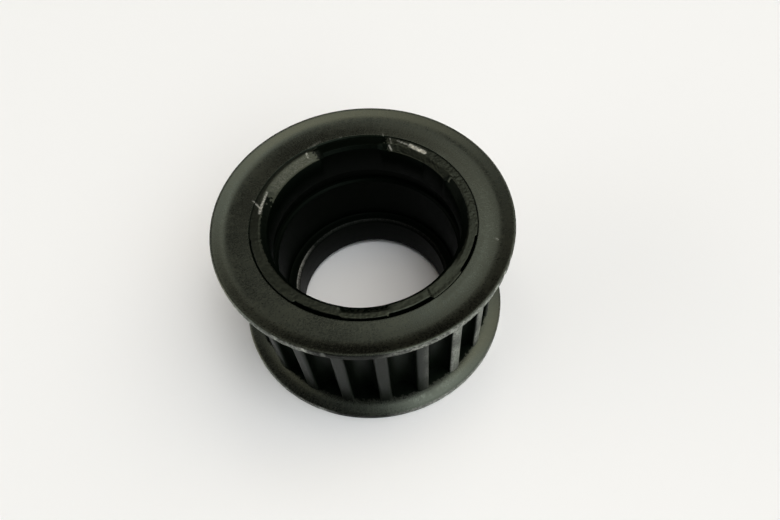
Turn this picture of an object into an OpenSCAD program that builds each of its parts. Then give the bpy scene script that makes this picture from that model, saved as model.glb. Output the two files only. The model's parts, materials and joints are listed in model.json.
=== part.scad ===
// Double-flanged synchronous belt pulley with a stepped bore for a ball bearing.
// A turned and hobbed hub carries two pressed flanges, each held by a staked lip.
// Origin on the axis, in the plane that the lower flange's rim stands on; +Z up.

/* [Teeth] */
// Number of teeth round the hub
teeth = 20; // [18:1:32]
// Tooth pitch, measured along the belt's pitch line
pitch = 8; // [7.6:0.1:9]
// Distance from the tooth tips out to the belt's pitch line
pitch_line_offset = 0.686; // [0.5:0.002:0.9]
// Depth of a belt groove below the tooth tips
groove_depth = 3.45; // [3.2:0.05:3.6]
// Width of a belt groove between its straight flanks
groove_w = 5; // [4.6:0.1:5.4]
// Radius where a flank rolls over onto the tooth tip
tip_fillet = 0.65; // [0.3:0.05:0.8]
// Toothed width, from one flange to the other
face_w = 25.3; // [21:0.1:60]

/* [Flanges] */
// How far a flange's rim stands out past the tooth tips
flange_reach = 2.72; // [2:0.01:5]
// Thickness of the flange sheet
flange_t = 1.5; // [1:0.1:2.5]
// Radial width of the flared band at the rim
flare_w = 2.7; // [2.4:0.1:4]
// Angle by which the flare leans away from the belt
flare_a = 18; // [8:1:24]
// Radius of the bend on the sheet's hollow side
bend_r = 8; // [0.8:0.1:11]
// Rounding of the rim's two edges
rim_round = 0.3; // [0.1:0.05:0.45]
// Chamfer round the flange's hole, on the outer face
hole_chamfer = 0.25; // [0.15:0.05:0.5]

/* [Flange seats] */
// Height of the step from the seat up to the tooth roots
seat_step = 0.83; // [0.5:0.01:1.2]
// Radial clearance between a seat and the flange's hole
seat_gap = 0.05; // [0.02:0.01:0.15]
// How far the lip's end face lies below the flange's outer face
lip_drop = 0.05; // [0:0.05:0.2]
// Radial width of the cone that the punch left inside the lip
punch_w = 1.4; // [0.8:0.1:1.8]
// Depth of the punched cone at the bore's edge
punch_drop = 0.5; // [0.1:0.05:0.8]
// Radial width of the open gap between two staked stretches
gap_w = 0.75; // [0.3:0.05:1]
// Depth of the open gap
gap_depth = 0.9; // [0.4:0.1:1.4]

/* [Bore] */
// Diameter of the bearing seat
bearing_d = 35; // [32:0.5:36]
// Width of the bearing
bearing_w = 11; // [8:0.5:12]
// Diametral relief of the entry bore over the bearing seat
entry_relief = 0.5; // [0.2:0.1:1]
// Chamfer at the mouth of the entry bore
mouth_chamfer = 0.6; // [0.1:0.05:0.8]
// Width of the retaining ring's groove
ring_groove_w = 2.9; // [1.6:0.1:3.5]
// Diameter at the bottom of the retaining ring's groove
ring_groove_d = 37; // [36.5:0.1:38]
// Lead-in chamfer at the top of the bearing seat
seat_chamfer = 0.45; // [0.2:0.05:0.6]
// Diameter of the bore through the shoulder
shoulder_bore_d = 30.4; // [26:0.1:31]
// Length of the shoulder, from the lower end face up to the bearing
shoulder_l = 7.6; // [4:0.1:9]
// Chamfer at the upper edge of the shoulder's bore
shoulder_chamfer = 0.6; // [0.2:0.05:0.8]
// Chamfer at the lower edge of the shoulder's bore
foot_chamfer = 0.4; // [0.2:0.05:0.8]

/* [Hidden] */

// Resolution of round stretches
fine = 180;
small = 48;
bend_steps = 8;
rim_steps = 6;
// Overlap that keeps a cut clear of the face it starts from
over = 1;

// Radii of the toothed part
tip_r = teeth * pitch / (2 * PI) - pitch_line_offset;
groove_r = groove_w / 2;
root_r = tip_r - groove_depth;
groove_c = root_r + groove_r;

// How far a tip fillet's circle reaches past the tip circle, so that the two cross
fillet_over = 0.002;

// Centre of a tip fillet, and the angle at which it meets the tip circle
fillet_y = groove_r + tip_fillet;
fillet_x = sqrt(pow(tip_r - tip_fillet + fillet_over, 2) - pow(fillet_y, 2));
fillet_a = atan2(fillet_y, fillet_x);

// Radii of the seats and flanges
seat_r = root_r - seat_step;
hole_r = seat_r + seat_gap;
flange_r = tip_r + flange_reach;

// Height of the flare's sharp corner, and what the rim's rounding takes off it
corner_rise = flare_w * tan(flare_a);
flare_rise = corner_rise - rim_round * (tan(flare_a) + 1 / cos(flare_a) - 1);

// Levels from the lower rim upwards
lower_flat_z = flare_rise;
face_z = lower_flat_z + flange_t;
face_top_z = face_z + face_w;
upper_flat_z = face_top_z + flange_t;
hub_bottom_z = lower_flat_z + lip_drop;
hub_top_z = upper_flat_z - lip_drop;

// Levels and radii of the bore
bearing_r = bearing_d / 2;
entry_r = bearing_r + entry_relief / 2;
ring_r = ring_groove_d / 2;
shoulder_r = shoulder_bore_d / 2;
bearing_z = hub_bottom_z + shoulder_l;
ring_z = bearing_z + bearing_w;
entry_z = ring_z + ring_groove_w;
mouth_r = entry_r + mouth_chamfer;

// Stretches of the lip, start and end in degrees, that were left open when it
// was staked. Between them it is swaged out over the chamfer of the flange's hole.
open_gaps = [[-131, -106], [-83, -60], [-40, -17]];

// Stretches where the punch also left a cone inside the lip, start and end in
// degrees, and the cone's size as a share of the full one
punched_cones = [[-104, -85, 0.5], [76, 184, 1]];

// Cutter for one belt groove, pointing along +X
module groove_outline() {
    far = tip_r + over;
    translate([groove_c, 0]) circle(r = groove_r, $fn = small);
    translate([groove_c, -groove_r]) square([far - groove_c, groove_w]);
    for (side = [-1, 1])
        difference() {
            polygon([
                [fillet_x, side * fillet_y],
                [fillet_x, side * (groove_r - tip_fillet)],
                [far, side * (groove_r - tip_fillet)],
                [far * cos(fillet_a), side * far * sin(fillet_a)]
            ]);
            translate([fillet_x, side * fillet_y]) circle(r = tip_fillet, $fn = small);
        }
}

// Outline of the toothed rim, with a tooth pointing along -Y
module tooth_outline() {
    difference() {
        circle(r = tip_r, $fn = fine);
        for (i = [0 : teeth - 1])
            rotate((i + 0.5) * 360 / teeth - 90) groove_outline();
    }
}

// Everything that is bored out of the hub, from the lower end up
module stepped_bore() {
    rotate_extrude($fn = fine)
        polygon([
            [0, hub_bottom_z - over],
            [shoulder_r + foot_chamfer + over, hub_bottom_z - over],
            [shoulder_r, hub_bottom_z + foot_chamfer],
            [shoulder_r, bearing_z - shoulder_chamfer],
            [shoulder_r + shoulder_chamfer, bearing_z],
            [bearing_r, bearing_z],
            [bearing_r, ring_z - seat_chamfer],
            [bearing_r + seat_chamfer, ring_z],
            [ring_r, ring_z],
            [ring_r, entry_z],
            [entry_r, entry_z],
            [entry_r, hub_top_z - mouth_chamfer],
            [mouth_r + over, hub_top_z + over],
            [0, hub_top_z + over]
        ]);
}

// Sweeps its 2D children round the axis, from one angle of a span to the other
module sweep(span) {
    rotate(span[0]) rotate_extrude(angle = span[1] - span[0], $fn = fine) children();
}

// Marks of the staking on the upper end: gaps in the lip's outer edge, cones inside it
module stake_marks() {
    for (span = open_gaps)
        sweep(span)
            translate([seat_r - gap_w, hub_top_z - gap_depth])
                square([gap_w + over, gap_depth + over]);
    for (cone = punched_cones) {
        width = punch_w * cone[2];
        drop = punch_drop * cone[2];
        sweep(cone)
            polygon([
                [mouth_r - width, hub_top_z + over],
                [mouth_r - width, hub_top_z - 2 * drop],
                [mouth_r + width, hub_top_z],
                [mouth_r + width, hub_top_z + over]
            ]);
    }
}

// Turned core of the hub. Each end's lip is swaged out over the chamfer of the
// flange's hole, and holds the flange.
module swaged_core() {
    swage = hole_chamfer - lip_drop;
    rotate_extrude($fn = fine)
        polygon([
            [0, hub_bottom_z],
            [seat_r + swage, hub_bottom_z],
            [seat_r, hub_bottom_z + swage],
            [seat_r, hub_top_z - swage],
            [seat_r + swage, hub_top_z],
            [0, hub_top_z]
        ]);
}

// Mirrors its children about the middle of the toothed width
module at_lower_end() {
    translate([0, 0, face_z + face_top_z]) mirror([0, 0, 1]) children();
}

module toothed_hub() {
    color("#26282a")
        difference() {
            union() {
                translate([0, 0, face_z]) linear_extrude(face_w) tooth_outline();
                swaged_core();
            }
            stepped_bore();
            stake_marks();
        }
}

// Points along an arc about a centre, from one angle to another, in equal steps
function arc(c, r, from, to, steps) =
    [for (i = [0 : steps]) c + r * [cos(from + (to - from) * i / steps), sin(from + (to - from) * i / steps)]];

// Half section of the upper flange: flat web, bend and flared rim
module flange_section() {
    // corners where the flat faces would meet the sloping ones
    upper = [flange_r - flare_w, upper_flat_z];
    under = [upper[0] + flange_t * tan(flare_a / 2), face_top_z];
    // both bends have their centre above the web, on the hollow side
    bend_c = [upper[0] - bend_r * tan(flare_a / 2), upper_flat_z + bend_r];
    // centres of the rim's roundings, on the sloping faces' inner sides
    round_x = flange_r - rim_round;
    round_gap = rim_round / cos(flare_a);
    top_c = [round_x, upper[1] + (round_x - upper[0]) * tan(flare_a) - round_gap];
    low_c = [round_x, under[1] + (round_x - under[0]) * tan(flare_a) + round_gap];
    polygon(concat(
        [[hole_r, face_top_z], [hole_r, upper_flat_z - hole_chamfer], [hole_r + hole_chamfer, upper_flat_z]],
        arc(bend_c, bend_r, -90, flare_a - 90, bend_steps),
        arc(top_c, rim_round, 90 + flare_a, 0, rim_steps),
        arc(low_c, rim_round, 0, flare_a - 90, rim_steps),
        arc(bend_c, bend_r + flange_t, flare_a - 90, -90, bend_steps)
    ));
}

module upper_flange() {
    color("#2b2c2d") rotate_extrude($fn = fine) flange_section();
}

module lower_flange() {
    color("#2b2c2d") at_lower_end() rotate_extrude($fn = fine) flange_section();
}

toothed_hub();
upper_flange();
lower_flange();
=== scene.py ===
import json
import math

import bmesh
import bpy
import numpy as np
from mathutils import Matrix, Vector, noise


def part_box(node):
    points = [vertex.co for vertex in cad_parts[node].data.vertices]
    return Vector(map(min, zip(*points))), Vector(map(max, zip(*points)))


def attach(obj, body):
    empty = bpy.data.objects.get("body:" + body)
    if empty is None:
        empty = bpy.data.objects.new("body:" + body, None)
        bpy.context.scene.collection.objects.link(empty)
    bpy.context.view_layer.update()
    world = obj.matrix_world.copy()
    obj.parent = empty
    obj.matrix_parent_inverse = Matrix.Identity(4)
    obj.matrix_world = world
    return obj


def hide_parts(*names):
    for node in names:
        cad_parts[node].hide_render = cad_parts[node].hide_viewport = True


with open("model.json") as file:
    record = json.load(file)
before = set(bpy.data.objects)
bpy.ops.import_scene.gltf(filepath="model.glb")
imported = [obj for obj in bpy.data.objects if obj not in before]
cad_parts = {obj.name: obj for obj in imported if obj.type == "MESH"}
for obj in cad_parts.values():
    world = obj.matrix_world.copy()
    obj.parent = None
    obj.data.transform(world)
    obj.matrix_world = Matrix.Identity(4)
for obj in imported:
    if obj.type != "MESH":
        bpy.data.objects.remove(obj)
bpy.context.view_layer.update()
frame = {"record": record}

# Toothed hub. One piece of free-cutting steel, turned and bored from the bar, then
# hobbed with round grooves for the belt and dipped in hot black oxide. Each end has
# a thin lip that holds a flange once it is staked.
MM = 0.001
teeth = 20
hub_low, hub_high = (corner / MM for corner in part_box("toothed_hub"))
face_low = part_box("lower_flange")[1].z / MM
face_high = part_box("upper_flange")[0].z / MM

# belt grooves and flange seats, in millimetres
tip_r = hub_high.x
tip_fillet = 0.65
groove_r = 2.5
groove_depth = 3.45
root_r = tip_r - groove_depth
seat_step = 0.83
seat_r = root_r - seat_step
swage = 0.2

# stepped bore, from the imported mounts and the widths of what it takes
mounts = {mount["name"]: mount for mount in frame["record"]["mounts"]}
bearing_r = mounts["bearing_seat"]["dims"]["r_mm"]
entry_r = mounts["entry_bore"]["dims"]["r_mm"]
shoulder_r = mounts["shoulder_bore"]["dims"]["r_mm"]
bearing_w = 11
ring_groove_w = 2.9
ring_r = 18.5
foot_chamfer = 0.4
shoulder_chamfer = 0.6
seat_chamfer = 0.45
mouth_chamfer = 0.6
mouth_r = entry_r + mouth_chamfer
bearing_low = mounts["bearing_seat"]["pos_m"][2] / MM - bearing_w / 2
bearing_high = bearing_low + bearing_w
entry_low = bearing_high + ring_groove_w

# one tooth has this many points round, on the hobbed rim and on the turned core alike
tooth_steps = 48
steps = teeth * tooth_steps

# points closer than this are one
weld = 0.002 * MM


def half_section(corners, closed=False):
    """Points of a turned outline. A corner is (radius, height, rounding, step to the next)."""
    arc_step = 0.2
    count = len(corners)
    outline = []
    for index, (radius, height, rounding, _) in enumerate(corners):
        corner = np.array([radius, height], float)
        inner = closed or 0 < index < count - 1
        if rounding == 0 or not inner:
            outline.append([corner])
            continue
        before = np.array(corners[index - 1][:2]) - corner
        after = np.array(corners[(index + 1) % count][:2]) - corner
        before /= np.linalg.norm(before)
        after /= np.linalg.norm(after)
        half = math.acos(before @ after) / 2
        inward = (before + after) / np.linalg.norm(before + after)
        centre = corner + inward * rounding / math.sin(half)
        first = corner + before * rounding / math.tan(half) - centre
        last = corner + after * rounding / math.tan(half) - centre
        sweep = math.pi - 2 * half
        cuts = max(2, round(rounding * sweep / arc_step))
        shares = [(math.sin((1 - t) * sweep), math.sin(t * sweep)) for t in np.linspace(0, 1, cuts + 1)]
        outline.append([centre + (a * first + b * last) / math.sin(sweep) for a, b in shares])
    points = []
    for index, arc in enumerate(outline):
        points += arc
        if closed or index < count - 1:
            start, end = arc[-1], outline[(index + 1) % count][0]
            cuts = math.ceil(np.linalg.norm(end - start) / corners[index][3])
            points += [start + (end - start) * cut / cuts for cut in range(1, cuts)]
    return points + points[:1] if closed else points


def add(tree, kind, inputs=(), **settings):
    """Adds a node with its settings, links or sets its inputs, and returns its outputs."""
    node = tree.nodes.new(kind)
    for name, value in settings.items():
        setattr(node, name, value)
    for key, value in dict(inputs).items():
        if isinstance(value, bpy.types.NodeSocket):
            tree.links.new(value, node.inputs[key])
        else:
            node.inputs[key].default_value = value
    return node.outputs


def new_tree(name, sizes):
    """Starts a geometry tree with a geometry input, named sizes and a material."""
    tree = bpy.data.node_groups.new(name, "GeometryNodeTree")
    tree.interface.new_socket("Geometry", in_out="INPUT", socket_type="NodeSocketGeometry")
    for size, kind in sizes.items():
        tree.interface.new_socket(size, in_out="INPUT", socket_type="NodeSocket" + kind)
    tree.interface.new_socket("Finish", in_out="INPUT", socket_type="NodeSocketMaterial")
    tree.interface.new_socket("Geometry", in_out="OUTPUT", socket_type="NodeSocketGeometry")
    return tree, add(tree, "NodeGroupInput")


def end_tree(tree, shape, finish):
    """Ends a tree in one welded mesh with its material."""
    real = add(tree, "GeometryNodeRealizeInstances", {0: shape})[0]
    welded = add(tree, "GeometryNodeMergeByDistance", {"Geometry": real, "Distance": weld})[0]
    painted = add(tree, "GeometryNodeSetMaterial", {"Geometry": welded, "Material": finish})[0]
    add(tree, "NodeGroupOutput", {0: painted})


def run_tree(tree, points, faces, values):
    """Runs a tree on points given in millimetres and returns the mesh that it makes."""
    seed = bpy.data.meshes.new("outline")
    seed.from_pydata([Vector(point) * MM for point in points], [], faces)
    carrier = bpy.data.objects.new("outline", seed)
    bpy.context.scene.collection.objects.link(carrier)
    modifier = carrier.modifiers.new("form", "NODES")
    modifier.node_group = tree
    given = [item for item in tree.interface.items_tree if item.in_out == "INPUT"]
    sockets = {item.name: item.identifier for item in given}
    for name, value in values.items():
        modifier[sockets[name]] = value
    carrier.update_tag()
    graph = bpy.context.evaluated_depsgraph_get()
    made = bpy.data.meshes.new_from_object(carrier.evaluated_get(graph), depsgraph=graph)
    bpy.data.objects.remove(carrier)
    return made


def turning_tree():
    """A lathe: turns the input's line of points, in the XZ plane, into a ring about Z."""
    tree, given = new_tree("turn_section", {"Points": "Int", "Steps": "Int"})
    points, around = given["Points"], given["Steps"]
    columns = add(tree, "FunctionNodeIntegerMath", {0: around, 1: 1}, operation="ADD")[0]
    grid = add(tree, "GeometryNodeMeshGrid", {"Vertices X": columns, "Vertices Y": points})["Mesh"]
    index = add(tree, "GeometryNodeInputIndex")[0]
    place = add(tree, "FunctionNodeIntegerMath", {0: index, 1: points}, operation="MODULO")[0]
    turn = add(tree, "FunctionNodeIntegerMath", {0: index, 1: points}, operation="DIVIDE_FLOOR")[0]
    share = add(tree, "ShaderNodeMath", {0: turn, 1: around}, operation="DIVIDE")[0]
    angle = add(tree, "ShaderNodeMath", {0: share, 1: math.tau}, operation="MULTIPLY")[0]
    at = add(tree, "GeometryNodeInputPosition")[0]
    point = add(tree, "GeometryNodeSampleIndex",
                {"Geometry": given["Geometry"], "Value": at, "Index": place},
                data_type="FLOAT_VECTOR")[0]
    turned = add(tree, "ShaderNodeVectorRotate", {"Vector": point, "Angle": angle},
                 rotation_type="Z_AXIS")[0]
    ring = add(tree, "GeometryNodeSetPosition", {"Geometry": grid, "Position": turned})[0]
    end_tree(tree, ring, given["Finish"])
    return tree


def hobbing_tree():
    """A dividing head: repeats the input, one belt groove wide, once for each tooth.
    A tooth points along -Y, so the first groove stands half a pitch off +X."""
    tree, given = new_tree("hob_teeth", {"Teeth": "Int"})
    count = given["Teeth"]
    places = add(tree, "GeometryNodeMeshLine", {"Count": count, "Offset": (0, 0, 0)})[0]
    index = add(tree, "GeometryNodeInputIndex")[0]
    half_on = add(tree, "ShaderNodeMath", {0: index, 1: 0.5}, operation="ADD")[0]
    share = add(tree, "ShaderNodeMath", {0: half_on, 1: count}, operation="DIVIDE")[0]
    angle = add(tree, "ShaderNodeMath", {0: share, 1: math.tau}, operation="MULTIPLY")[0]
    turn = add(tree, "ShaderNodeCombineXYZ", {"Z": angle})[0]
    groove = add(tree, "GeometryNodeGeometryToInstance", {0: given["Geometry"]})[0]
    grooves = add(tree, "GeometryNodeInstanceOnPoints",
                  {"Points": places, "Instance": groove, "Rotation": turn})[0]
    end_tree(tree, grooves, given["Finish"])
    return tree


def groove_outline():
    """One pitch of the hobbed rim, from the middle of a tooth to the middle of the next.
    Each half has 25 points, so that the whole has as many steps as the core."""
    land_points, fillet_points, bottom_points = 4, 7, 14
    pitch = math.tau / teeth
    fillet_y = groove_r + tip_fillet
    fillet_x = math.sqrt((tip_r - tip_fillet) ** 2 - fillet_y ** 2)
    fillet_a = math.atan2(fillet_y, fillet_x)
    groove_x = root_r + groove_r
    land = [(tip_r * math.cos(a), tip_r * math.sin(a))
            for a in np.linspace(pitch / 2, fillet_a, land_points)]
    fillet = [(fillet_x + tip_fillet * math.cos(a), fillet_y + tip_fillet * math.sin(a))
              for a in np.linspace(fillet_a, -math.pi / 2, fillet_points)]
    flank = [((fillet_x + groove_x) / 2, groove_r)]
    bottom = [(groove_x + groove_r * math.cos(a), groove_r * math.sin(a))
              for a in np.linspace(math.pi / 2, math.pi, bottom_points)]
    half = land + fillet[1:] + flank + bottom
    return [(x, -y) for x, y in half] + half[-2::-1]


outline = groove_outline()
width = len(outline)
tooth_levels = 11
pitch_angles = np.linspace(-math.pi / teeth, math.pi / teeth, width)
seat_arc = [(seat_r * math.cos(a), seat_r * math.sin(a)) for a in pitch_angles]
rows = [(seat_arc, face_low)]
rows += [(outline, z) for z in np.linspace(face_low, face_high, tooth_levels)]
rows += [(seat_arc, face_high)]
patch = [(x, y, z) for arc, z in rows for x, y in arc]
patch_faces = [(row * width + i, row * width + i + 1, (row + 1) * width + i + 1, (row + 1) * width + i)
               for row in range(len(rows) - 1) for i in range(width - 1)]

# turned outline of the core, from the lower seat through the bore to the upper seat,
# as (radius, height, rounding, step to the next)
hub_corners = [
    (seat_r, face_low, 0, 2),
    (seat_r, hub_low.z + swage, 0, 0.3),
    (seat_r + swage, hub_low.z, 0.06, 0.3),
    (shoulder_r + foot_chamfer, hub_low.z, 0.1, 1),
    (shoulder_r, hub_low.z + foot_chamfer, 0.1, 8),
    (shoulder_r, bearing_low - shoulder_chamfer, 0.15, 1),
    (shoulder_r + shoulder_chamfer, bearing_low, 0.08, 1),
    (bearing_r, bearing_low, 0.25, 20),
    (bearing_r, bearing_high - seat_chamfer, 0.1, 1),
    (bearing_r + seat_chamfer, bearing_high, 0.06, 1),
    (ring_r, bearing_high, 0.1, 4),
    (ring_r, entry_low, 0.1, 1),
    (entry_r, entry_low, 0.06, 8),
    (entry_r, hub_high.z - mouth_chamfer, 0.15, 0.1),
    (mouth_r, hub_high.z, 0.1, 0.12),
    (seat_r + swage, hub_high.z, 0.06, 0.1),
    (seat_r, hub_high.z - swage, 0, 1),
    (seat_r, face_high, 0, 1),
]


def linear(code):
    """A colour as written in sRGB hex, as the linear values that the shaders take."""
    parts = [int(code[i:i + 2], 16) / 255 for i in (1, 3, 5)]
    return [c / 12.92 if c <= 0.04045 else ((c + 0.055) / 1.055) ** 2.4 for c in parts] + [1]


def black_oxide(name, film, haze, tint, roughness, sheen, marks):
    """Hot black oxide on steel: a film about a thousandth of a millimetre thick, almost black,
    that takes a dull sheen from its oil. Handling leaves a brownish haze in clouds and specks,
    and the attribute "bare" says where the steel shows through, both where it is worn and where steel is
    painted on as a highlight. The specks and the worn grit are a few hundredths of a millimetre on real
    steel, and are coarser here so that they show."""
    cloud_size, speck_size, grit_size = 9 * MM, 0.7 * MM, 0.4 * MM
    mark_depth = 0.005 * MM
    # the steel's colour and roughness, shown where the oxide is worn and where a highlight is painted
    bare_steel, bare_roughness = "#c4c3bd", 0.32
    material = bpy.data.materials.new(name)
    material.use_nodes = True
    tree = material.node_tree
    tree.nodes.clear()
    at = add(tree, "ShaderNodeTexCoord")["Object"]
    clouds = add(tree, "ShaderNodeTexNoise",
                 {"Vector": at, "Scale": 1 / cloud_size, "Detail": 3, "Roughness": 0.6})[0]
    specks = add(tree, "ShaderNodeTexNoise",
                 {"Vector": at, "Scale": 1 / speck_size, "Detail": 4, "Roughness": 0.7})[0]
    height = marks(tree, at)
    both = add(tree, "ShaderNodeMath", {0: clouds, 1: specks}, operation="ADD")[0]
    both = add(tree, "ShaderNodeMath", {0: both, 1: height}, operation="MULTIPLY")[0]
    share = add(tree, "ShaderNodeMapRange", {"Value": both, "From Min": 0.9, "From Max": 1.6})[0]
    dark = add(tree, "ShaderNodeMix", {0: share, 6: linear(film), 7: linear(haze)}, data_type="RGBA")[2]
    # worn: how far the steel shows, from wear and from painted highlights
    worn = add(tree, "ShaderNodeAttribute", attribute_name="bare")["Fac"]
    grit = add(tree, "ShaderNodeTexNoise",
               {"Vector": at, "Scale": 1 / grit_size, "Detail": 3, "Roughness": 0.7})[0]
    grain = add(tree, "ShaderNodeMapRange", {"Value": grit, "From Min": 0.38, "From Max": 0.62,
                                             "To Min": 0.3, "To Max": 1.5})[0]
    bare = add(tree, "ShaderNodeMath", {0: worn, 1: grain}, operation="MULTIPLY", use_clamp=True)[0]
    colour = add(tree, "ShaderNodeMix", {0: bare, 6: dark, 7: linear(bare_steel)}, data_type="RGBA")[2]
    dull = add(tree, "ShaderNodeMapRange", {"Value": both, "From Min": 0.55, "From Max": 1.5,
                                            "To Min": roughness - 0.07, "To Max": roughness + 0.1})[0]
    gloss = add(tree, "ShaderNodeMix", {0: bare, 2: dull, 3: bare_roughness})[0]
    normal = add(tree, "ShaderNodeBump", {"Height": height, "Distance": mark_depth, "Strength": 1})[0]
    shader = add(tree, "ShaderNodeBsdfPrincipled",
                 {"Base Color": colour, "Metallic": bare, "Roughness": gloss, "Specular IOR Level": sheen,
                  "Specular Tint": linear(tint), "Normal": normal})[0]
    add(tree, "ShaderNodeOutputMaterial", {"Surface": shader})
    return material


def turned_marks(tree, at):
    """Feed marks of the turning tool, which run round the axis. Real ones are about 0.1 mm
    apart, and are coarser here so that they show."""
    feed = 0.25 * MM
    parts = add(tree, "ShaderNodeSeparateXYZ", {0: at})
    flat = add(tree, "ShaderNodeCombineXYZ", {"X": parts["X"], "Y": parts["Y"]})[0]
    radius = add(tree, "ShaderNodeVectorMath", {0: flat}, operation="LENGTH")["Value"]
    along = add(tree, "ShaderNodeCombineXYZ", {"X": radius, "Y": parts["Z"]})[0]
    rings = add(tree, "ShaderNodeTexNoise", {"Vector": along, "Scale": 1 / feed, "Detail": 2})[0]
    return add(tree, "ShaderNodeMath", {0: rings, 1: 0.5}, operation="ADD")[0]


# Turned steel under the oxide: near black, with a broad soft gleam in fine rings.
hub_finish = black_oxide("turned_steel_black_oxide", film="#030403", haze="#141510", tint="#f2ffe6",
                         roughness=0.32, sheen=0.35, marks=turned_marks)

# Hobbed steel under the oxide: matt and a little green, and given far less gleam than the turned hub as
# painted shade between the flanges, so the grooves fall off into black. The flanges' webs between the teeth
# and their covered seams take it too, as painted shade.
teeth_and_web_shade_finish = black_oxide("hobbed_steel_black_oxide", film="#020502", haze="#0a100a", tint="#e8ffe8",
                           roughness=0.36, sheen=0.1, marks=turned_marks)

# A near black copy of the oxide that hardly gleams: painted shade, laid in the bore, on the lip where the
# punch cut it and on the flanges' sheared edges, so the bore stays dark.
painted_shade_finish = black_oxide("bored_steel_dry_black_oxide", film="#010301", haze="#010402", tint="#e8fff0",
                          roughness=0.45, sheen=0.04, marks=turned_marks)


def on_stretch(angle, start, end, soft=0.8):
    """1 on the stretch of azimuth from start to end, in degrees, and 0 off it, with soft ends."""
    off = np.abs((angle - (start + end) / 2 + 180) % 360 - 180)
    return np.clip(((end - start) / 2 - off) / soft + 0.5, 0, 1)


def share_along(angle, start, end):
    """How far each azimuth lies along the stretch from start to end, from 0 to 1."""
    off = (angle - (start + end) / 2 + 180) % 360 - 180
    return np.clip(0.5 + off / (end - start), 0, 1)


def near_line(radius, angle, start, end, width):
    """1 on a straight scratch between two points (radius, azimuth), falling to 0 beside it."""
    here = radius * np.exp(1j * np.radians(angle))
    a, b = (r * np.exp(1j * math.radians(deg)) for r, deg in (start, end))
    along = np.clip(((here - a) * np.conj(b - a)).real / abs(b - a) ** 2, 0, 1)
    return np.clip(1.5 - np.abs(here - a - along * (b - a)) / (width / 2), 0, 1)


def polar(mesh):
    """A mesh's points as arrays of radius, azimuth in degrees and height, in millimetres."""
    co = np.empty(len(mesh.vertices) * 3)
    mesh.vertices.foreach_get("co", co)
    x, y, z = co.reshape(-1, 3).T / MM
    return np.hypot(x, y), np.degrees(np.arctan2(y, x)), z


def set_polar(mesh, radius, angle, height):
    """Puts a mesh's points at these radii, azimuths and heights."""
    turn = np.radians(angle)
    co = np.stack([radius * np.cos(turn), radius * np.sin(turn), height], 1) * MM
    mesh.vertices.foreach_set("co", co.ravel())
    mesh.update()


def rough(radius, angle, height, size, seed):
    """Smooth noise between -1 and 1 at each point, with lumps of one size in millimetres."""
    turn = np.radians(angle)
    points = np.stack([radius * np.cos(turn), radius * np.sin(turn), height], 1) / size + seed
    return np.array([noise.noise(point) for point in points])


def set_bare_and_lit(mesh, share):
    """Writes how far the oxide is worn through at each point, and where the steel is painted on as a
    highlight.
    """
    mesh.attributes.new("bare", "FLOAT", "POINT").data.foreach_set("value", share.astype(np.float32))


# Staking of the upper lip, in degrees of azimuth and millimetres. An edge is a stretch and
# the radius that the lip reaches at its start and its end: a gap stands open beyond it.
lip_h = 2
lip_w = 0.9
gap_depth = 0.9
lip_edges = [
    (-131, -106, 19.98, 20.0),
    (-106, -84, 20.3, 20.25),
    (-83.5, -60.5, 19.92, 19.95),
    (-40, -17, 20.2, 20.4),
    (184, 229, 20.56, 20.5),
]

# A cut is a stretch and the section left there by the punch, as (radius, depth) at its
# start and at its end.
punch_cuts = [
    (-106, -84,
     ((17.7, 0.8), (18.4, 0.32), (19.3, 0)),
     ((17.7, 0.75), (18.4, 0.28), (19.2, 0))),
    (-60, -40,
     ((17.7, 0.6), (18.35, 0), (19.9, 0.035), (20.3, 0)),
     ((17.7, 0.6), (18.35, 0), (19.9, 0.03), (20.3, 0))),
    (-40, 10, ((17.7, 0.65), (18.4, 0)), ((17.7, 1.9), (19.05, 0))),
    (10, 25, ((17.7, 1.9), (19.05, 0)), ((17.7, 1.4), (19.1, 0))),
    (25, 46, ((17.7, 0.7), (19.05, 0)), ((17.7, 0.6), (18.95, 0))),
    (46, 74, ((17.7, 0.7), (19.1, 0)), ((17.7, 0.8), (19.2, 0))),
    (75, 114,
     ((17.7, 0.7), (18.2, 0.02), (20.3, 0.3), (20.7, 0.28)),
     ((17.7, 0.7), (18.2, 0.02), (20.2, 0.28), (20.7, 0.26))),
    (114, 151, ((17.7, 0.75), (20.05, 0)), ((17.7, 0.7), (19.95, 0))),
    (151, 168, ((17.7, 0.7), (19.95, 0)), ((17.7, 0.8), (19.0, 0))),
    (168, 228, ((17.7, 0.85), (19, 0)), ((17.7, 0.65), (18.4, 0))),
]

# A bright line is given by its two ends as (radius, azimuth), its width, and how far the oxide is gone.
# The first two paint a highlight along the lip's outer facet, where it faces the light; the rest are
# scratches down to the steel. The crack has two ends and a width too.
bright_lines = [
    # painted highlight on the lip's outer facet
    ((19.6, 48.5), (19.8, 58), 0.7, 1.1),
    ((19.8, 58), (20.1, 66), 0.35, 0.25),
    ((20.4, 70.6), (19.2, 69.1), 0.16, 0.2),
    ((18.75, 70), (18, 68), 0.26, 0.7),
    ((19.55, 153), (19.35, 166), 0.35, 0.4),
    ((19.35, 162), (19.25, 167.5), 0.42, 0.65),
    ((21.1, 160.6), (19.4, 164.2), 0.24, 0.6),
    ((20.0, 119), (19.2, 119.6), 0.35, 0.3),
]
crack = ((18.4, -59.2), (20.2, -60.8), 0.15)
crack_depth = 0.2


def closed_seam(angle):
    """1 where the lip was swaged right over the flange's hole, so that no seam shows."""
    return np.maximum(on_stretch(angle, -58, -42, soft=3), on_stretch(angle, -14, 180, soft=4))


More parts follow.
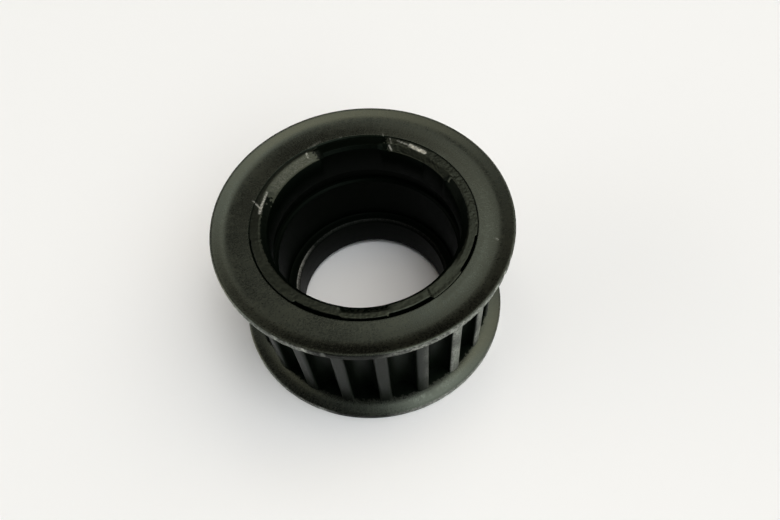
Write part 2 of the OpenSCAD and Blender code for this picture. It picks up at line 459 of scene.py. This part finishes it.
def hub_wear_and_highlights(radius, angle, height, face, grit):
    """How far the oxide is gone on the hub, with steel also painted on as highlights: scratches on the
    staked face, a painted highlight along the lip's outer facet, a faint painted sheen in streaks on the
    lip from 116° to 150° of azimuth, a little wear on every tooth tip with a painted highlight on those at
    the right front, and a little wear round the shoulder's chamfer with a painted highlight at its left."""
    bare = np.zeros(len(radius))
    # the scratches, and the painted highlight of the first two bright lines
    for start, end, across, worn in bright_lines:
        streak = worn * (1 + 0.3 * grit) * near_line(radius, angle, start, end, across)
        bare = np.maximum(bare, np.where(face, streak, 0))
    # a faint painted sheen, in streaks, on the lip where its cone faces the light
    band_low, band_high, band_edge, streak_long = 17.9, 19.9, 0.3, 2.5
    lit_band = on_stretch(angle, 116, 150, soft=9)
    lit_band = lit_band * np.clip((radius - band_low) / band_edge, 0, 1)
    lit_band = lit_band * np.clip((band_high - radius) / band_edge, 0, 1)
    streaks = rough(radius / streak_long, angle, 0 * angle, size=0.1, seed=41)
    bare = np.maximum(bare, np.where(face, 0.05 * (1 + 0.9 * streaks) * lit_band, 0))
    tip_skin, end_skin = 0.25, 0.05
    between = (height < face_high + end_skin) & (height > face_low - end_skin)
    patchy = np.clip(0.6 + rough(radius, angle, height, size=4, seed=17), 0.2, 1)
    # a little wear on every tooth tip, and a painted highlight on the tips at the right front, where they
    # face the light
    tip_highlights = 0.01 + 0.5 * on_stretch(angle, -66, -24, soft=14) * patchy
    bare = np.where((radius > tip_r - tip_skin) & between, tip_highlights, bare)
    chamfered = (radius > shoulder_r + 0.1) & (radius < shoulder_r + shoulder_chamfer + 0.02)
    # a little wear round the shoulder's chamfer, and a painted highlight at the left, where it catches the
    # light
    chamfer_highlight = chamfered & (height > bearing_low - shoulder_chamfer) & (height < face_high)
    return np.where(chamfer_highlight, 0.03 + 0.35 * on_stretch(angle, 150, 215, soft=24), bare)


def stake(mesh):
    """Deforms the upper lip as the staking punch and the years have left it."""
    radius, angle, height = polar(mesh)
    top = hub_high.z
    lip = height > top - lip_h
    outer = seat_r - lip_w
    lumps = rough(radius, angle, height, size=0.8, seed=3)
    grit = rough(radius, angle, height, size=0.28, seed=8)
    gap_foot, edge_waver, rolled_w, rolled_depth = 0.1, 0.05, 0.25, 0.1
    for start, end, first, last in lip_edges:
        edge = first + (last - first) * share_along(angle, start, end) + edge_waver * lumps
        here = on_stretch(angle, start, end) * np.clip((height - top + gap_depth) / gap_foot, 0, 1)
        squeezed = outer + (radius - outer) * (edge - outer) / (lip_w + swage)
        radius = np.where(lip & (radius > outer), radius + (squeezed - radius) * here, radius)
        rolled = rolled_depth * np.clip((radius - edge + rolled_w) / rolled_w, 0, 1) ** 2
        height = np.where(lip & (radius > outer), height - rolled * here, height)
    overlap = 1.5
    for start, end, *cuts in punch_cuts:
        depth = [np.interp(radius, [r for r, _ in cut], [d for _, d in cut]) for cut in cuts]
        level = top - depth[0] + (depth[0] - depth[1]) * share_along(angle, start, end)
        lower = lip & (height > level) & (radius > entry_r - 0.01)
        cut_in = on_stretch(angle, start - overlap, end + overlap, soft=2 * overlap)
        height = np.where(lower, height + (level - height) * cut_in, height)
    lump_h, grit_h, pressed_in = 0.025, 0.025, 0.02
    face = lip & (radius > entry_r + 0.1)
    rougher = 1 + on_stretch(angle, -14, 46, soft=6) + 0.6 * on_stretch(angle, -106, -84, soft=4)
    dents = (lump_h * lumps + grit_h * grit) * rougher
    dents -= crack_depth * near_line(radius, angle, *crack)
    height = np.where(face, np.minimum(height + dents - pressed_in, top), height)
    seam_depth, seam_edge, seam_cover = 0.35, 0.05, 0.04
    over_seam = closed_seam(angle) * (height > top - seam_depth) * (radius > seat_r + swage - seam_edge)
    radius = radius + seam_cover * over_seam
    set_polar(mesh, radius, angle, height)
    set_bare_and_lit(mesh, np.clip(hub_wear_and_highlights(radius, angle, height, face, grit), 0, 1))


def face_finishes(mesh):
    """The finish of each face of the hub: 1, the near black one, as painted shade in the bore and on the
    lip, where the punch cut it more than about 0.16 mm down outside the stretches that face the light, and
    inward of 20.2 mm from 72° to 114° of azimuth; 2 on the teeth; and 0 elsewhere."""
    co = np.empty(len(mesh.polygons) * 3)
    mesh.polygons.foreach_get("center", co)
    x, y, z = co.reshape(-1, 3).T / MM
    radius, angle = np.hypot(x, y), np.degrees(np.arctan2(y, x))
    uneven = rough(radius, angle, z, size=0.5, seed=31)
    below_top = hub_high.z - z
    foot_h, mouth_h, deep_cut, shaded_stretch_r = 0.3, 0.95, 0.16, 20.2
    # the bore, which takes the painted shade
    bore = (radius < ring_r + 0.01) & (z > hub_low.z + foot_h) & (z < hub_high.z - mouth_h)
    # bright: the stretches of the lip that face the light, kept out of the painted shade
    bright = on_stretch(angle, 114, 157, soft=14) + on_stretch(angle, 24, 71)
    bright = bright + 0.5 * on_stretch(angle, -108, -82, soft=4)
    # painted shade where the punch cut the lip far down, outside those stretches
    shaded_cut = (below_top > deep_cut + 0.08 * uneven) & (bright + 0.5 * uneven < 0.5)
    # dull: painted shade on the lip's far side, from 72° to 114° of azimuth
    dull = on_stretch(angle, 72, 114, soft=10) + 0.4 * uneven > 0.5
    dull = dull & (radius < shaded_stretch_r + 0.2 * uneven)
    outside = seat_r + swage + 0.1
    lip = (z > hub_high.z - lip_h) & (radius > entry_r - 0.01) & (radius < outside)
    toothed = (radius > outside) & (z < face_high - 0.01)
    return np.where(toothed, 2, np.where(bore | (lip & (shaded_cut | dull)), 1, 0)).astype(np.int32)


def piece(name, meshes, finish):
    """One closed mesh object from meshes that share their rims, with its material."""
    sharp_edge = 35
    form = bmesh.new()
    for mesh in meshes:
        form.from_mesh(mesh)
    bmesh.ops.remove_doubles(form, verts=form.verts, dist=weld)
    bmesh.ops.recalc_face_normals(form, faces=form.faces)
    mesh = bpy.data.meshes.new(name)
    form.to_mesh(mesh)
    form.free()
    mesh.materials.append(finish)
    mesh.polygons.foreach_set("use_smooth", [True] * len(mesh.polygons))
    mesh.polygons.foreach_set("material_index", [0] * len(mesh.polygons))
    mesh.set_sharp_from_angle(angle=math.radians(sharp_edge))
    made = bpy.data.objects.new(name, mesh)
    bpy.context.scene.collection.objects.link(made)
    return made


core_points = half_section(hub_corners)
turn_section = turning_tree()
core = run_tree(turn_section, [(r, 0, z) for r, z in core_points], [],
                {"Points": len(core_points), "Steps": steps, "Finish": hub_finish})
rim = run_tree(hobbing_tree(), patch, patch_faces, {"Teeth": teeth, "Finish": hub_finish})
hub = piece("hub_turned_and_hobbed", [core, rim], hub_finish)
stake(hub.data)
hub.data.materials.append(painted_shade_finish)
hub.data.materials.append(teeth_and_web_shade_finish)
hub.data.polygons.foreach_set("material_index", face_finishes(hub.data))
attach(hub, "root")
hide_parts("toothed_hub")

# Lower flange. A ring pressed from 1.5 mm sheet steel, flared at the rim so that the
# belt runs in, and held between the teeth and the staked lip. Black oxide again, more
# mottled than on the turned hub, and rubbed through along the sheared rim.
sheet_t = 1.5
flange_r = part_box("upper_flange")[1].x / MM
web_high = face_high + sheet_t
hole_r = seat_r + 0.05
hole_chamfer = 0.25
flare = math.radians(18)
flare_w = 2.7
flare_rise = flare_w * math.tan(flare)
bend_r = 8
rim_round = 0.3
under_x = flange_r - flare_w + sheet_t * math.tan(flare / 2)
under_rise = (flange_r - under_x) * math.tan(flare)

# the web begins to rise here, at a small angle, before the flare's own bend
sag_r, sag_w = 23.3, 1.9
sag = math.radians(5)

flange_corners = [
    (hole_r, face_high, 0.05, 1),
    (hole_r, web_high - hole_chamfer, 0.03, 0.2),
    (hole_r + hole_chamfer, web_high, 0.02, 0.2),
    (sag_r, web_high, 26, 0.4),
    (sag_r + sag_w, web_high + sag_w * math.tan(sag), 7, 0.4),
    (flange_r, web_high + flare_rise, rim_round, 0.15),
    (flange_r, face_high + under_rise, rim_round, 0.8),
    (under_x, face_high, bend_r + sheet_t, 1),
]


def pressed_grain(tree, at):
    """Fine pits in the oxide and the radial scores that the die left. The pits are coarser
    here than real ones, so that they show."""
    pit_size, score_length, score_count = 0.35 * MM, 4 * MM, 450
    pits = add(tree, "ShaderNodeTexNoise",
               {"Vector": at, "Scale": 1 / pit_size, "Detail": 3, "Roughness": 0.65})[0]
    parts = add(tree, "ShaderNodeSeparateXYZ", {0: at})
    angle = add(tree, "ShaderNodeMath", {0: parts["Y"], 1: parts["X"]}, operation="ARCTAN2")[0]
    flat = add(tree, "ShaderNodeCombineXYZ", {"X": parts["X"], "Y": parts["Y"]})[0]
    radius = add(tree, "ShaderNodeVectorMath", {0: flat}, operation="LENGTH")["Value"]
    round_it = add(tree, "ShaderNodeMath", {0: angle, 1: score_count / math.tau}, operation="MULTIPLY")[0]
    outward = add(tree, "ShaderNodeMath", {0: radius, 1: 1 / score_length}, operation="MULTIPLY")[0]
    along = add(tree, "ShaderNodeCombineXYZ", {"X": round_it, "Y": outward})[0]
    scores = add(tree, "ShaderNodeTexNoise", {"Vector": along, "Scale": 1, "Detail": 2})[0]
    faint = add(tree, "ShaderNodeMath", {0: scores, 1: 0.5, 2: 0.25}, operation="MULTIPLY_ADD")[0]
    return add(tree, "ShaderNodeMath", {0: pits, 1: faint}, operation="ADD")[0]


# Cold-pressed sheet under oiled oxide: a grey satin gleam on the flares, finely mottled,
# with a brown haze on the flat webs.
flange_finish = black_oxide("pressed_sheet_black_oxide", film="#030302", haze="#18170f", tint="#f3ffec",
                            roughness=0.28, sheen=0.7, marks=pressed_grain)


def wear_rim(mesh, seed, nicks, scratches):
    """Nicks the rim at places (azimuth, width in degrees, depth), and bares the steel where
    the rim was rubbed and along the scratches."""
    radius, angle, height = polar(mesh)
    rim_w, edge_w = 0.35, 0.12
    on_rim = radius > flange_r - rim_w
    edge = np.clip((radius - flange_r + edge_w) / edge_w, 0, 1)
    dent = np.zeros(len(radius))
    for azimuth, across, depth in nicks:
        nick = on_stretch(angle, azimuth - across / 2, azimuth + across / 2, across)
        dent = np.maximum(dent, depth * nick)
    lumps = rough(radius, angle, height, size=0.8, seed=seed)
    fine = rough(radius, angle, height, size=0.25, seed=seed + 5)
    rubbed = 0.02 + 0.34 * on_stretch(angle, -84, -12, soft=14)
    rubbed = rubbed + 0.24 * on_stretch(angle, -158, -114, soft=8)
    bare = edge * np.clip(rubbed * (1 + 0.6 * lumps + 0.6 * fine) + 2 * dent, 0, 1)
    for start, end, across, worn in scratches:
        scratch = near_line(radius, angle, start, end, across) * (height > web_high - 0.1)
        bare = np.maximum(bare, worn * scratch)
    radius = np.where(on_rim, radius - (dent + 0.02 * np.maximum(lumps, 0)) * edge, radius)
    # the web sinks a little beside the hole at the right, where the lip pressed on it
    dip_w, dip_edge, dip_depth = 1.5, 1.2, 0.04
    dip = on_stretch(angle, -60, 40, soft=6) * np.clip((hole_r + dip_w - radius) / dip_edge, 0, 1)
    on_web = np.abs(height - web_high) < 0.02
    height = np.where(on_web, height - dip_depth * dip, height)
    set_polar(mesh, radius, angle, height)
    set_bare_and_lit(mesh, bare)


def flange_face_finish(face):
    """The finish of a flange's face: 2, the teeth's dim one, as painted shade on the web between the teeth
    out to a ragged edge, and on the sheared edges where the lip covers the seam; 1, the near black one, as
    painted shade on the sheared edges of the hole and the rim on the stretches where the seam is open; or
    else 0."""
    # the ragged edge of the painted shade on the web, and how far it wavers
    shade_edge_r, shade_edge_waver, waver_size, skin = 24.3, 0.5, 0.6, 0.15
    x, y, z = face.center / MM
    radius = math.hypot(x, y)
    sheared = not hole_r + hole_chamfer + 0.01 < radius < flange_r - 0.1
    shade_edge = shade_edge_r + shade_edge_waver * noise.noise(Vector((x, y, z)) / waver_size)
    # painted shade on the web between the teeth, where the other flange and the hub shade it
    shaded_web = radius < shade_edge and min(abs(z - face_low), abs(z - face_high)) < skin
    closed = closed_seam(math.degrees(math.atan2(y, x))) > 0.5
    # painted shade on the sheared edges: near black where the seam is open, dim where the lip covers it
    if sheared and not closed:
        return 1
    return 2 if shaded_web or sheared else 0


def flange(name, node, corners, seed, nicks, scratches=()):
    """One pressed flange, turned by the same tree as the hub's core, with its wear."""
    points = half_section(corners, closed=True)
    ring = run_tree(turn_section, [(r, 0, z) for r, z in points], [],
                    {"Points": len(points), "Steps": steps, "Finish": flange_finish})
    made = piece(name, [ring], flange_finish)
    wear_rim(made.data, seed, nicks, scratches)
    made.data.materials.append(painted_shade_finish)
    made.data.materials.append(teeth_and_web_shade_finish)
    for face in made.data.polygons:
        face.material_index = flange_face_finish(face)
    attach(made, "root")
    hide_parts(node)
    return made


lower_corners = [(radius, face_low + face_high - height, rounding, step)
                 for radius, height, rounding, step in flange_corners]
lower_nicks = [(-64, 1, 0.1), (-118, 2, 0.08), (10, 1.5, 0.1)]
flange("flange_lower", "lower_flange", lower_corners, 11, lower_nicks)

# Upper flange. The same pressing, turned over so that its flare opens upwards.
# It is nearest to the hand, so its rim has most of the nicks and its web the scratches.
upper_nicks = [(-127, 1.5, 0.12), (-122, 1, 0.1), (-116, 2, 0.12), (-109, 1.2, 0.1),
               (-40, 2, 0.12), (-33, 1.4, 0.15), (-26, 2, 0.1), (60, 1, 0.08)]
upper_scratches = [
    ((21.4, 75.2), (20.8, 74.6), 0.12, 0.3),
    ((21.2, 160.4), (20.8, 161.3), 0.18, 0.4),
    ((21, 97), (20.8, 99), 0.3, 0.05),
    ((21.3, 109), (20.8, 116), 0.5, 0.06),
    ((24.4, -18.3), (24.1, -17.5), 0.2, 0.3),
]
flange("flange_upper", "upper_flange", flange_corners, 23, upper_nicks, upper_scratches)

# Table, light and camera. A sheet of white paper under a large soft lamp above and
# to the right, seen from above as the photograph shows it. The paper is uncoated, so it
# is matt and takes a soft shadow.
paper = bpy.data.materials.new("white_paper")
paper.use_nodes = True
paper_shader = paper.node_tree.nodes["Principled BSDF"]
paper_shader.inputs["Base Color"].default_value = linear("#f2f1f5")
paper_shader.inputs["Roughness"].default_value = 0.9
paper_shader.inputs["Specular IOR Level"].default_value = 0.1
reach = 1.5
table_corners = [(-reach, -reach, 0), (reach, -reach, 0), (reach, reach, 0), (-reach, reach, 0)]
table = bpy.data.meshes.new("table")
table.from_pydata(table_corners, [], [(0, 1, 2, 3)])
table.materials.append(paper)
floor = bpy.data.objects.new("table", table)
bpy.context.scene.collection.objects.link(floor)

world = bpy.data.worlds.new("studio")
bpy.context.scene.world = world
world.use_nodes = True
sky = world.node_tree
sky.nodes.clear()
way = add(sky, "ShaderNodeTexCoord")["Generated"]
parts = add(sky, "ShaderNodeSeparateXYZ", {0: way})
across, away, up = parts["X"], parts["Y"], parts["Z"]


def panel(strength, *edges):
    """A panel of the studio's light: a strength, times its soft edges. An edge is what it is
    measured along, where it begins and ends, and the share of light before and after it."""
    for along, start, end, before, after in edges:
        edge = add(sky, "ShaderNodeMapRange", {"Value": along, "From Min": start, "From Max": end,
                                               "To Min": before, "To Max": after},
                   interpolation_type="SMOOTHSTEP")[0]
        strength = add(sky, "ShaderNodeMath", {0: strength, 1: edge}, operation="MULTIPLY")[0]
    return strength


# Directions are given by their plan coordinates: across to the right, away from the
# camera, and up. First a wide softbox overhead, and its dimmer surround.
softbox = panel(2.05, (across, -0.44, -0.2, 0, 1), (across, 0.35, 1, 1, 0.2), (away, 0.34, 0.5, 1, 0))
surround = panel(1, (across, -0.5, 0.5, 0.8, 1.4), (away, 0.4, 0.92, 0.78, 0))
glow = add(sky, "ShaderNodeMath", {0: softbox, 1: surround}, operation="ADD")[0]

# a dim bar down the middle of the softbox, at its far side
off_bar = add(sky, "ShaderNodeMath", {0: across, 1: 0.05}, operation="ADD")[0]
off_bar = add(sky, "ShaderNodeMath", {0: off_bar}, operation="ABSOLUTE")[0]
beside_bar = panel(1, (off_bar, 0.03, 0.15, 0, 1))
before_bar = panel(1, (away, 0.26, 0.42, 1, 0.35))
bar = add(sky, "ShaderNodeMath", {0: beside_bar, 1: before_bar}, operation="MAXIMUM")[0]

# the shade at the front left, on the camera's side of the room
from_shade = add(sky, "ShaderNodeVectorMath", {0: way, 1: (0.6, 0.8, 0)}, operation="DOT_PRODUCT")["Value"]
behind_shade = panel(1, (from_shade, -0.2, -0.05, 0.05, 1))
right_of_shade = panel(1, (across, 0.02, 0.16, 0.05, 1))
unshaded = add(sky, "ShaderNodeMath", {0: behind_shade, 1: right_of_shade}, operation="MAXIMUM")[0]

# a dark spot, a dimmer horizon, a small bounce card behind, and low light at the left and in front
off_spot = add(sky, "ShaderNodeVectorMath", {0: way, 1: (-0.08, 0.46, 0.88)}, operation="DISTANCE")["Value"]
off_card = add(sky, "ShaderNodeVectorMath", {0: way, 1: (0.14, 0.54, 0.83)}, operation="DISTANCE")["Value"]
for share in bar, unshaded:
    glow = add(sky, "ShaderNodeMath", {0: glow, 1: share}, operation="MULTIPLY")[0]
glow = panel(glow, (off_spot, 0.08, 0.24, 0.2, 1), (up, 0.3, 0.62, 0.4, 1))
card = panel(2.4, (off_card, 0.06, 0.18, 1, 0))
sky_left = panel(2.8, (across, -0.92, -0.76, 1, 0))
sky_front = panel(0.5, (away, -0.95, -0.8, 1, 0))
low_sky = add(sky, "ShaderNodeMath", {0: sky_left, 1: sky_front}, operation="MAXIMUM")[0]
for lit in card, low_sky:
    glow = add(sky, "ShaderNodeMath", {0: glow, 1: lit}, operation="ADD")[0]

# daylight, and a lamp's yellower light from far behind and from a band overhead
lit_far = panel(1, (away, 0.5, 0.64, 0, 1))
lit_overhead = panel(1, (away, -0.02, 0.12, 0, 1), (away, 0.3, 0.42, 1, 0))
yellow = add(sky, "ShaderNodeMath", {0: lit_far, 1: lit_overhead}, operation="MAXIMUM")[0]
daylight, lamplight = linear("#fafffc"), linear("#fff4de")
tone = add(sky, "ShaderNodeMix", {0: yellow, 6: daylight, 7: lamplight}, data_type="RGBA")[2]
level = add(sky, "ShaderNodeMath", {0: glow, 1: 0.8}, operation="MULTIPLY")[0]
light = add(sky, "ShaderNodeBackground", {"Color": tone, "Strength": level})[0]
add(sky, "ShaderNodeOutputWorld", {"Surface": light})

# a round soft lamp overhead that faces the object, with the radiance of its face
lamp_size, lamp_distance, lamp_radiance = 0.24, 0.8, 4
lamp = bpy.data.lights.new("overhead_lamp", "AREA")
lamp.shape = "DISK"
lamp.size = lamp_size
lamp.energy = lamp_radiance * math.pi * math.pi * (lamp_size / 2) ** 2
overhead = bpy.data.objects.new("overhead_lamp", lamp)
towards = Vector((0.22, -0.1, 0.97)).normalized()
facing = towards.to_track_quat("Z", "Y").to_matrix().to_4x4()
overhead.matrix_world = Matrix.Translation(towards * lamp_distance) @ facing
bpy.context.scene.collection.objects.link(overhead)

# camera of the photograph: its place in metres, its aim in degrees, and the focal
# length and optical centre in pixels of the photograph
photo_w, photo_h = 780, 520
focal_px, centre_x, centre_y = 632.8, 431.8, 299.5
sensor_w = 36
camera_at = (0.00196, -0.07023, 0.12185)
tilt, heading, roll = math.radians(29.59), math.radians(-8.6), math.radians(0.67)
camera = bpy.data.cameras.new("camera")
camera.sensor_width = sensor_w
camera.lens = focal_px / photo_w * sensor_w
camera.shift_x = (photo_w / 2 - centre_x) / photo_w
camera.shift_y = (centre_y - photo_h / 2) / photo_w
eye = bpy.data.objects.new("camera", camera)
aim = Matrix.Rotation(heading, 4, "Z") @ Matrix.Rotation(tilt, 4, "X") @ Matrix.Rotation(roll, 4, "Z")
eye.matrix_world = Matrix.Translation(camera_at) @ aim
bpy.context.scene.collection.objects.link(eye)
bpy.context.scene.camera = eye
bpy.context.scene.view_settings.view_transform = "Standard"
